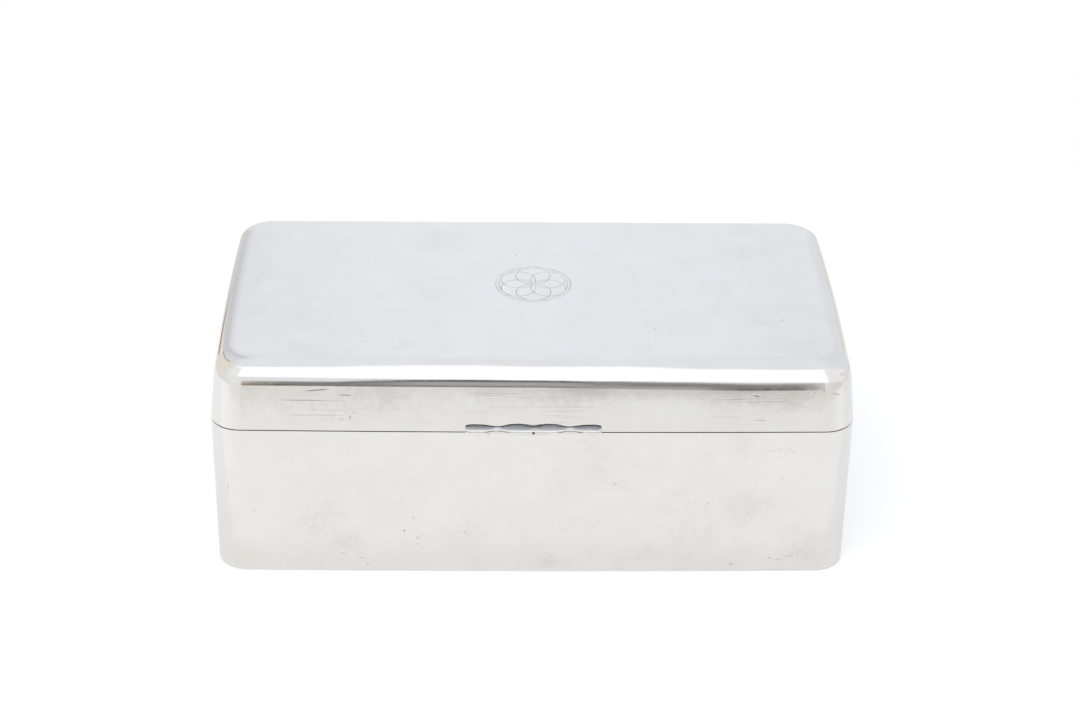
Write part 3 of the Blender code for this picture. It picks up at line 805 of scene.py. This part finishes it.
def scratches(g, where, upright):
    """Masks of scratches: placed ones, short hatching in places, and long faint hairlines all over."""
    placed = 0
    for x0, z0, x1, z1, half, strength in WALL_SCRATCHES:
        middle = ((x0 + x1) / 2 * MM, -HALF_DEPTH, (z0 + z1) / 2 * MM)
        turn = math.atan2(z1 - z0, x1 - x0)
        along = g.turned(g.vector("SUBTRACT", where, middle), "Y", turn)
        length = math.hypot(x1 - x0, z1 - z0) / 2
        placed = g.spots(along, ((0, 0, 0, length, SCRATCH_DEPTH, half, strength),), placed)
    places = g.times(g.range(g.noise(where, 24), 0.56, 0.74), 0.5)
    places = g.times(g.spots(where, HATCHED, places), upright)
    short = g.range(g.drawn(where, (210, 210, 2100), 2, 0.6, 0.5), 0.58, 0.7)
    wall_lines = g.range(g.drawn(where, (18, 18, 1900), 2, 0.5, 0.3), 0.62, 0.8)
    top_lines = g.range(g.drawn(where, (22, 1500, 22), 2, 0.5, 0.4), 0.64, 0.82)
    skewed = g.turned(where, "Z", SKEW)
    skew_lines = g.range(g.drawn(skewed, (26, 1700, 26), 2, 0.5, 0.4), 0.66, 0.82)
    flat_lines = g.times(g.larger(top_lines, skew_lines), g.minus(1, upright))
    lines = g.plus(g.times(wall_lines, upright), flat_lines)
    return placed, g.times(short, places), g.times(lines, g.range(g.noise(where, 26), 0.42, 0.72))


def pits(g, where):
    """Mask of pits: strewn ones, placed ones, and specks round some of them."""
    cell = g.add("TexVoronoi", {"feature": "F1"}, Vector=where, Scale=70, Randomness=1)
    rare = g.add("SeparateColor", Color=cell.outputs["Color"]).outputs[0]
    strewn = g.times(g.fall(cell.outputs["Distance"], 0.012, 0.03), g.range(rare, 0.72, 0.95, 0, 0.5))
    rows = []
    for x, y, z, reach, strength in PITS:
        flat = z * MM > LID_RIM + LID_RISE - EDGE_DROP
        sides = (reach, PIT_DEPTH) if flat else (PIT_DEPTH, reach)
        rows.append((x, y, z, reach, *sides, strength))
    specks = g.range(g.noise(where, 1300, 1), 0.6, 0.72)
    specks = g.times(specks, g.times(g.spots(where, SPECKLED), SPECK_STRENGTH))
    return g.larger(g.spots(where, rows, strewn), specks)


def engraving(g, where, level):
    """Mask of the engraved rosette of rings on the lid's top."""
    x, y, _ = g.split(where)
    flat = g.add("CombineXYZ", _0=x, _1=y).outputs[0]
    rings = [(0, 0, radius) for radius in ENGRAVED_RIMS]
    for petal in range(ENGRAVED_PETALS):
        turn = 2 * math.pi * (petal + 0.5) / ENGRAVED_PETALS
        rings.append((ENGRAVED_RADIUS * math.cos(turn), ENGRAVED_RADIUS * math.sin(turn), ENGRAVED_RADIUS))
    nearest = 1
    for across, along, radius in rings:
        centre = (ENGRAVED_X + across, ENGRAVED_Y + along, 0)
        apart = g.length(g.vector("SUBTRACT", flat, centre))
        nearest = g.math("MINIMUM", nearest, g.absolute(g.minus(apart, radius)))
    cut = g.fall(nearest, ENGRAVED_LINE * 0.35, ENGRAVED_LINE * 0.75)
    uneven = g.range(g.noise(where, 260), 0.35, 0.65, 0.45, 1)
    return g.times(cut, uneven, g.range(level, 0.95, 0.99))


def silver(name, engraved=False):
    """Old polished silver: mottled, scratched and pitted, with patches of film."""
    made, g, shader = new_material(name)
    where = g.found("Object")
    level = g.absolute(g.split(g.found("Normal"))["Z"])
    upright = g.fall(level, 0.35, 0.7)
    broken, rosy = film(g, where)
    placed, hatching, lines = scratches(g, where, upright)
    pit = pits(g, where)
    if engraved:
        placed = g.larger(placed, engraving(g, where, level))
    mottle = g.range(g.noise(where, 90, 4, 0.65), 0.3, 0.7)
    grain = g.noise(where, 420, 3, 0.6)
    specks = g.times(g.range(g.noise(where, 900), 0.6, 0.72), broken)

    base = g.blend(mottle, colour(0.968, 0.966, 0.962), colour(1, 1, 1))
    base = g.blend(1, SILVER, base, "MULTIPLY")
    for mask, share, tone in (
        (broken, 0.85, FILM), (rosy, 0.6, ROSY_FILM), (specks, 0.55, DEEP_FILM), (lines, 0.06, SCRATCH),
        (hatching, 0.22, SCRATCH), (placed, 0.75, SCRATCH), (pit, 0.8, PIT),
    ):
        base = g.blend(g.times(mask, share), base, tone)

    rough = g.range(grain, 0.3, 0.7, 0.055, 0.085)
    for mask, share in ((broken, 0.03), (lines, 0.05), (hatching, 0.08), (placed, 0.15)):
        rough = g.plus(rough, g.times(mask, share))
    ripple = g.bump(0.05, 0.004, g.noise(where, 28, 1, 0.4))
    relief = g.minus(g.minus(g.times(lines, -0.4), pit), g.times(placed, 0.6))
    relief = g.plus(relief, g.times(grain, 0.06))
    dress(g, shader, base, rough, g.bump(0.25, 0.0001, relief, Normal=ripple))
    return made


def cast_silver():
    """Silver of the thumbpiece: grey film and painted shade on its upward faces, dark film and painted shade
    in its groove and dimple and against the lid.
    """
    made, g, shader = new_material("thumb_silver")
    where = g.found("Object")
    upward_film_and_shade = g.range(g.split(g.found("Normal"))["Z"], 0.45, 0.85)
    dark = g.add("Attribute", {"attribute_name": "film"}).outputs["Fac"]
    mottle = g.noise(where, 700, 3, 0.6)
    patch = g.range(g.noise(where, 190), 0.35, 0.65, 0.75, 1)
    base = g.blend(g.range(mottle, 0.3, 0.7), SILVER, WORN_SILVER)
    # Grey film and painted shade on the upward faces, stronger the more a face turns up
    base = g.blend(g.times(upward_film_and_shade, patch), base, colour(0.52, 0.535, 0.57))
    # Dark film and painted shade where the film attribute marks the groove, the dimple and the back edge
    # against the lid
    base = g.blend(g.times(dark, g.range(mottle, 0.3, 0.6, 0.8, 1)), base, colour(0.13, 0.125, 0.12))
    rough = g.plus(g.range(mottle, 0.3, 0.7, 0.07, 0.12), g.times(dark, 0.3))
    dress(g, shader, base, rough, g.bump(0.15, 0.00005, mottle))
    return made


def hinge_silver():
    """Worn silver of the hinge, with marks across its length."""
    made, g, shader = new_material("hinge_silver_worn")
    where = g.found("Object")
    mottle = g.noise(where, 160, 4, 0.6)
    base = g.blend(g.range(mottle, 0.35, 0.75), WORN_SILVER, colour(0.56, 0.53, 0.48))
    bump = g.bump(0.2, 0.00008, g.drawn(where, (1800, 60, 60)))
    dress(g, shader, base, g.range(mottle, 0.3, 0.8, 0.16, 0.34), bump)
    return made


def cedar(name, along, seed):
    """Spanish cedar board with its grain along one axis, 0 for X and 1 for Y."""
    made, g, shader = new_material(name)
    where = g.vector("ADD", g.found("Object"), (seed * 0.37, seed * 0.53, seed * 0.29))

    def grain(length, width, *looks):
        scales = [width, width, width]
        scales[along] = length
        return g.drawn(where, scales, *looks)

    rings = g.math("SINE", g.times(grain(4, 60, 3, 0.55, 1.2), 34))
    fibre = grain(60, 1800, 3, 0.6)
    pores = g.range(grain(42, 1260, 1), 0.64, 0.72)
    base = g.blend(g.range(rings, -1, 1), colour(0.33, 0.145, 0.068), colour(0.47, 0.235, 0.118))
    base = g.blend(g.range(fibre, 0.3, 0.75, 0, 0.55), base, colour(0.4, 0.19, 0.09))
    base = g.blend(g.times(pores, 0.55), base, colour(0.15, 0.062, 0.03))
    bump = g.bump(0.35, 0.0002, g.minus(g.times(fibre, 0.5), pores))
    dress(g, shader, base, g.range(fibre, 0.3, 0.7, 0.52, 0.68), bump, 0)
    shader.inputs["Specular IOR Level"].default_value = 0.35
    return made


# Pieces of the object

body_silver = silver("body_silver")
hinge_metal = hinge_silver()
add_piece("lid_shell_fine", lid_mesh(), silver("lid_silver", engraved=True), "lid", "silver", "lid_shell")
add_piece("body_wall_fine", body_mesh(), body_silver, "body", "silver", "body_wall")
add_piece("thumbpiece_fine", thumb_mesh(), cast_silver(), "lid", "cast_silver", "thumbpiece")


def knuckle_mesh(x):
    """Tube with rounded outer ends, round the hinge axis."""
    half = (HINGE_LENGTH / KNUCKLE_COUNT - KNUCKLE_GAP) / 2
    bore = PIN_RADIUS + PIN_CLEARANCE
    rings = []
    turns = [math.pi / 2 * step / EASE_STEPS for step in range(EASE_STEPS + 1)]
    for end in (-1, 1):
        for turn in turns[::-end]:
            radius = KNUCKLE_RADIUS - KNUCKLE_EASE * (1 - math.sin(turn))
            rings.append(circle(radius, end * (half - KNUCKLE_EASE * (1 - math.cos(turn)))))
    rings += [circle(bore, half), circle(bore, -half)]
    solid = loft(rings, closed=True)
    bmesh.ops.translate(solid, vec=HINGE_AXIS + Vector((x, 0, 0)), verts=solid.verts[:])
    return to_mesh("knuckle", solid)


for index in range(KNUCKLE_COUNT):
    middle = HINGE_LENGTH / KNUCKLE_COUNT * (index + 1 / 2) - HINGE_LENGTH / 2
    holder = "lid" if index % 2 else "body"
    node = f"{holder}_knuckle_{index // 2 + 1}"
    add_piece(node + "_fine", knuckle_mesh(middle), hinge_metal, holder, "hinge_silver", node)


def plug_mesh(side):
    """Domed plug in the bore at one end of the hinge."""
    rings = [circle(PIN_RADIUS, -PLUG_SHANK), circle(PIN_RADIUS, SEAT_GAP)]
    for step in range(PLUG_STEPS):
        turn = math.pi / 2 * step / PLUG_STEPS
        rings.append(circle(PLUG_HEAD_RADIUS * math.cos(turn), SEAT_GAP + PLUG_HEAD_HEIGHT * math.sin(turn)))
    rings.append([Vector((SEAT_GAP + PLUG_HEAD_HEIGHT, 0, 0))])
    solid = loft(rings)
    end = (HINGE_LENGTH - KNUCKLE_GAP) / 2
    turn = Matrix.Rotation(0 if side > 0 else math.pi, 4, "Z")
    shift = Matrix.Translation(HINGE_AXIS + Vector((side * end, 0, 0)))
    bmesh.ops.transform(solid, matrix=shift @ turn, verts=solid.verts[:])
    return to_mesh("plug", solid)


for side, word in ((-1, "left"), (1, "right")):
    node = "hinge_plug_" + word
    add_piece(node + "_fine", plug_mesh(side), hinge_metal, "body", "hinge_silver", node)


BOARD_EASE = 0.00035
METAL_EASE = 0.00015
WELD_REACH = 0.00001
FLAT_TURN = math.radians(0.5)


def soften(piece, width):
    """Weld a carried-over solid's faces, merge its flat ones and round its edges a little."""
    modify(piece, "WELD", merge_threshold=WELD_REACH)
    modify(piece, "DECIMATE", decimate_type="DISSOLVE", angle_limit=FLAT_TURN)
    modify(piece, "BEVEL", width=width, segments=2, limit_method="ANGLE", angle_limit=SHARP_TURN)


for number, (name, node) in enumerate(sorted(nodes.items())):
    if "lining" in name:
        along = 1 if name.endswith(("left", "right")) else 0
        finish(node, cedar(name + "_cedar", along, number))
        soften(node, BOARD_EASE)
    elif name in ("body_bearer", "lid_bearer", "hinge_pin"):
        finish(node, hinge_metal)
        soften(node, METAL_EASE)
    elif name == "base_plate":
        finish(node, body_silver)
        soften(node, METAL_EASE)


# Camera, as the photograph's: the box stands slightly turned and the picture leans a little

CAMERA_PLACE = (-0.01608, -0.76198, 0.48772)
CAMERA_DOWN = math.radians(29.716)
CAMERA_TURN = math.radians(-1.462)
CAMERA_LEAN = math.radians(0.953)
LENS = 79.802

camera_data = bpy.data.cameras.new("camera")
camera_data.lens = LENS
camera_data.sensor_width = 36
camera_data.clip_start = 0.01
camera_data.clip_end = 20
camera = new_object("camera", camera_data)
aim = Matrix.Rotation(CAMERA_TURN, 4, "Z") @ Matrix.Rotation(math.pi / 2 - CAMERA_DOWN, 4, "X")
camera.matrix_world = Matrix.Translation(CAMERA_PLACE) @ aim @ Matrix.Rotation(CAMERA_LEAN, 4, "Z")
scene.camera = camera


# Floor: an oval pale sheet that keeps the soft shadow. It glows a little as a mirror image and to the eye.

FLOOR_HALF_WIDTH = 0.42
FLOOR_HALF_DEPTH = 0.27
FLOOR_DROP = 0.00005
FLOOR_SIDES = 128
SEEN_GLOW = 0.43


def floor_sheet():
    """Oval sheet under the box."""
    solid = bmesh.new()
    bmesh.ops.create_circle(solid, cap_ends=True, segments=FLOOR_SIDES, radius=1)
    bmesh.ops.scale(solid, vec=(FLOOR_HALF_WIDTH, FLOOR_HALF_DEPTH, 1), verts=solid.verts[:])
    mesh = bpy.data.meshes.new("floor")
    solid.to_mesh(mesh)
    solid.free()
    sheet = new_object("floor", mesh)
    sheet.location = (0, 0, -FLOOR_DROP)
    made, g, shader = new_material("floor_paper")
    g.tree.nodes.remove(shader)
    ray = g.add("LightPath").outputs
    x, y, _ = g.split(g.found("Object"))
    # Painted shading in the floor's glow as the silver mirrors it: dimmer farther in front and away from the
    # far left, and a painted shadow just in front of the box
    level = g.plus(g.range(y, -0.13, -0.22, 0.362, 0.292), g.range(x, -0.2, -0.12, 0.045, 0))
    level = g.minus(level, g.range(y, -0.085, -0.064, 0, 0.06))
    seen = g.larger(ray["Is Camera Ray"], ray["Is Transmission Ray"])
    glow = g.larger(g.times(ray["Is Glossy Ray"], level), g.times(seen, SEEN_GLOW))
    paper = g.add("BsdfDiffuse", Color=colour(0.66, 0.66, 0.655))
    light = g.add("Emission", Color=colour(0.995, 1, 1.02), Strength=glow)
    both = g.add("AddShader", _0=paper.outputs[0], _1=light.outputs[0])
    out = next(node for node in g.tree.nodes if node.type == "OUTPUT_MATERIAL")
    g.tree.links.new(both.outputs[0], out.inputs["Surface"])
    mesh.materials.append(made)


floor_sheet()


# Studio: a bright panel overhead in front, a grey tent behind, a dark gap beyond the table's front edge.
# Stops are (azimuth, level) or (azimuth, elevation), in degrees from the front towards the right.

TENT_LEVELS = (
    (-180, 1.03), (-172, 0.975), (-163, 0.91), (-152, 0.735), (-146, 0.75), (-136, 0.84), (-110, 0.87),
    (-92, 0.9), (-76, 0.96), (-55, 0.98), (60, 0.97), (95, 0.93), (120, 0.905), (150, 0.895),
    (168, 0.965), (176, 1.01), (180, 1.03),
)
TABLE_LEVELS = (
    (-180, 0.95), (-165, 0.83), (-152, 0.74), (-140, 0.85), (-100, 0.9), (-85, 0.945), (-40, 0.965),
    (-9, 0.955), (9, 0.915), (45, 0.86), (60, 0.86), (90, 0.9), (110, 0.86), (130, 0.84), (150, 0.82),
    (165, 0.84), (180, 0.95),
)
# The panel's line across the tent's roof as (x, y) over the height there, and the panel's lower edge
PANEL_LINE = (
    (-1.2, 0.45), (-0.64, 0.17), (-0.17, -0.14), (-0.13, -0.175), (-0.1, -0.11), (-0.07, 0.06),
    (-0.015, 0.23), (0.015, 0.09), (0.07, 0.105), (0.1, -0.09), (0.13, -0.23), (0.154, -0.22),
    (0.195, -0.4), (0.23, -0.24), (0.4, -0.1), (0.9, 0.16), (1.9, 0.58), (3.75, 0.98),
)
PANEL_FOOT = ((-60, 9), (-10, 6.5), (6, -1), (10, -3), (30, -1.8), (53, -2.5), (79, -7.5), (95, -9))
# The brown thing's curved edge at the far left, and the gap's two edges
ARC = ((-151, -9), (-147.8, 5), (-140, 20), (-130, 29.3), (-110, 43.8), (-97, 53))
GAP_TOP = (
    (-8.6, -18), (-7.9, -12.5), (-7.2, -4.6), (-6.5, -5.9), (-4.9, -5.6), (-4, -2.4), (-2.8, 0.1),
    (-0.8, 1.4), (1.1, 0.4), (2.2, 0.3), (3.4, -1.2), (4.6, -2.6), (5.8, -2.6), (7, -3.4), (8.2, -4.2),
    (8.9, -4.2), (9.4, -2.8), (9.6, -4.6), (9.75, -12),
)
GAP_FOOT = (
    (-7, -18.4), (-6.4, -17.5), (-5.8, -17.4), (-4.4, -17.9), (-3.4, -18.3), (1.1, -18.35), (4, -18.8),
    (6, -18.9), (8, -18.4),
)

# Tones inside the gap from its foot to its top, for five widths of it from left to right
GAP_TONES = (
    ((0, 0.14), (0.18, 0.08), (0.35, 0.13), (0.55, 0.25), (0.8, 0.32), (1, 0.6)),
    ((0, 0.22), (0.15, 0.25), (0.3, 0.22), (0.5, 0.32), (0.72, 0.18), (0.88, 0.32), (1, 0.6)),
    ((0, 0.32), (0.15, 0.26), (0.3, 0.42), (0.5, 0.48), (0.7, 0.4), (0.8, 0.16), (0.93, 0.11), (1, 0.12)),
    ((0, 0.4), (0.13, 0.5), (0.3, 0.42), (0.47, 0.3), (0.67, 0.26), (0.8, 0.3), (1, 0.6)),
    ((0, 0.1), (0.12, 0.12), (0.3, 0.2), (0.5, 0.24), (0.62, 0.28), (0.72, 0.24), (0.86, 0.42), (1, 0.7)),
)
GAP_JOINS = ((-6.95, -6.2), (-4.5, -2), (2, 4.2), (6.4, 7.6))

TENT_TINT = (0.962, 0.985, 1.06)
TABLE_TINT = (1, 0.995, 0.975)
PANEL = colour(1.36, 1.36, 1.38)
PANEL_SIDE = colour(1.02, 1.02, 1.03)
DIFFUSE_LOSS = 0.14


def tent(g, around, height):
    """Colour of the tent, cooler than the table."""
    level = g.stops(around, TENT_LEVELS)
    level = g.plus(level, g.times(g.range(height, 55, 75), g.minus(0.99, level)))
    return g.tinted(level, TENT_TINT)


def table(g, around, height):
    """Colour of the table, lighter close by."""
    return g.tinted(g.plus(g.stops(around, TABLE_LEVELS), g.range(height, -27, -19, 0.12, 0)), TABLE_TINT)


def with_brown_thing(g, room, around, height):
    """Room with the cream and brown thing at its far left."""
    arc = g.stops(around, ARC)
    above = g.minus(height, arc)
    under = g.times(g.fall(above, -1.5, 1.5), g.range(height, -18, -8))
    under = g.times(under, g.range(around, -154, -152), g.fall(around, -85, -55))
    room = g.blend(under, room, colour(0.93, 0.885, 0.8))
    edge = g.times(g.fall(g.absolute(above), 1, 3.4), g.range(height, 10, 20))
    edge = g.times(edge, g.fall(around, -112, -94))
    lower = g.fall(g.absolute(g.plus(height, 12)), 3, 6)
    lower = g.times(lower, g.range(around, -152.8, -151.8), g.fall(around, -149.9, -149.2))
    brown = g.blend(g.range(height, 5, 34), colour(0.38, 0.29, 0.21), colour(0.5, 0.47, 0.43))
    return g.blend(g.larger(edge, lower), room, brown)


def with_panel(g, room, around, height, x, y, z):
    """Room with the panel: all in front of a line across the roof, dimmer low down at its sides."""
    safe = g.larger(z, 0.02)
    line = g.stops(g.math("DIVIDE", x, safe), PANEL_LINE)
    panel = g.fall(g.minus(g.math("DIVIDE", y, safe), line), -0.65, -0.41)
    foot = g.minus(height, g.stops(around, PANEL_FOOT))
    panel = g.times(panel, g.range(foot, -1.6, 1.6), g.range(around, -74, -46), g.fall(around, 92, 99))
    aside = g.larger(g.range(around, 15, 30), g.fall(around, -30, -15))
    aside = g.times(aside, g.fall(height, 44, 62))
    return g.blend(panel, room, g.blend(aside, PANEL, PANEL_SIDE))


def with_gap(g, room, around, height, toward):
    """Room with the dark gap beyond the table's front edge, orange at its left end."""
    low = g.stops(around, GAP_FOOT)
    rise = g.math("DIVIDE", g.minus(height, low), g.minus(g.stops(around, GAP_TOP), low))
    ripple = g.range(g.drawn(toward, (28, 28, 28), 1), 0.3, 0.7, -0.05, 0.05)
    inner = g.plus(rise, ripple)
    dark = None
    for number, tones in enumerate(GAP_TONES):
        ramp = g.add("ValToRGB", Fac=inner)
        stops = ramp.color_ramp.elements
        while len(stops) < len(tones):
            stops.new(0.5)
        for stop, (position, level) in zip(stops, tones):
            stop.position = position
            stop.color = colour(level, level, level)
        tone = ramp.outputs[0]
        dark = g.blend(g.range(around, *GAP_JOINS[number - 1]), dark, tone) if number else tone
    dark = g.blend(g.range(around, -7.6, -7.25, 0.95, 0), dark, colour(0.55, 0.42, 0.3))
    inside = g.times(g.range(rise, -0.02, 0.03), g.fall(rise, 0.93, 1.08))
    inside = g.times(inside, g.range(around, -8.8, -8.5), g.fall(around, 9.75, 9.95))
    return g.blend(inside, room, dark)


def studio():
    """World that lights the box and that the silver mirrors; the eye sees plain white."""
    world = bpy.data.worlds.new("studio")
    scene.world = world
    world.use_nodes = True
    g = Graph(world.node_tree)
    world.node_tree.nodes.clear()
    toward = g.found("Generated")
    x, y, z = g.split(toward)
    height = g.degrees(g.math("ARCSINE", z))
    around = g.degrees(g.math("ARCTAN2", x, g.times(y, -1)))
    room = g.blend(g.range(height, -0.8, 0.8), table(g, around, height), tent(g, around, height))
    room = with_brown_thing(g, room, around, height)
    room = with_panel(g, room, around, height, x, y, z)
    room = with_gap(g, room, around, height, toward)
    ray = g.add("LightPath").outputs
    strength = g.minus(1, g.times(ray["Is Diffuse Ray"], DIFFUSE_LOSS))
    soft = g.add("Background", Color=room, Strength=strength).outputs[0]
    white = g.add("Background", Color=colour(1, 1, 1), Strength=1).outputs[0]
    either = g.add("MixShader", _0=ray["Is Camera Ray"], _1=soft, _2=white).outputs[0]
    g.add("OutputWorld", Surface=either)


studio()


# One broad soft lamp above and to the front left, for shape in the shadows

LAMP_PLACE = Vector((-0.45, -0.55, 1.25))
LAMP_AIM = Vector((0, 0, 0.04))

lamp_data = bpy.data.lights.new("key", "AREA")
lamp_data.shape = "SQUARE"
lamp_data.size = 0.9
lamp_data.energy = 5
lamp_data.color = (1, 0.985, 0.96)
lamp = new_object("key", lamp_data)
lamp.location = LAMP_PLACE
lamp.rotation_euler = (LAMP_AIM - LAMP_PLACE).to_track_quat("-Z", "Y").to_euler()
lamp.visible_glossy = False

scene.view_settings.view_transform = "Standard"
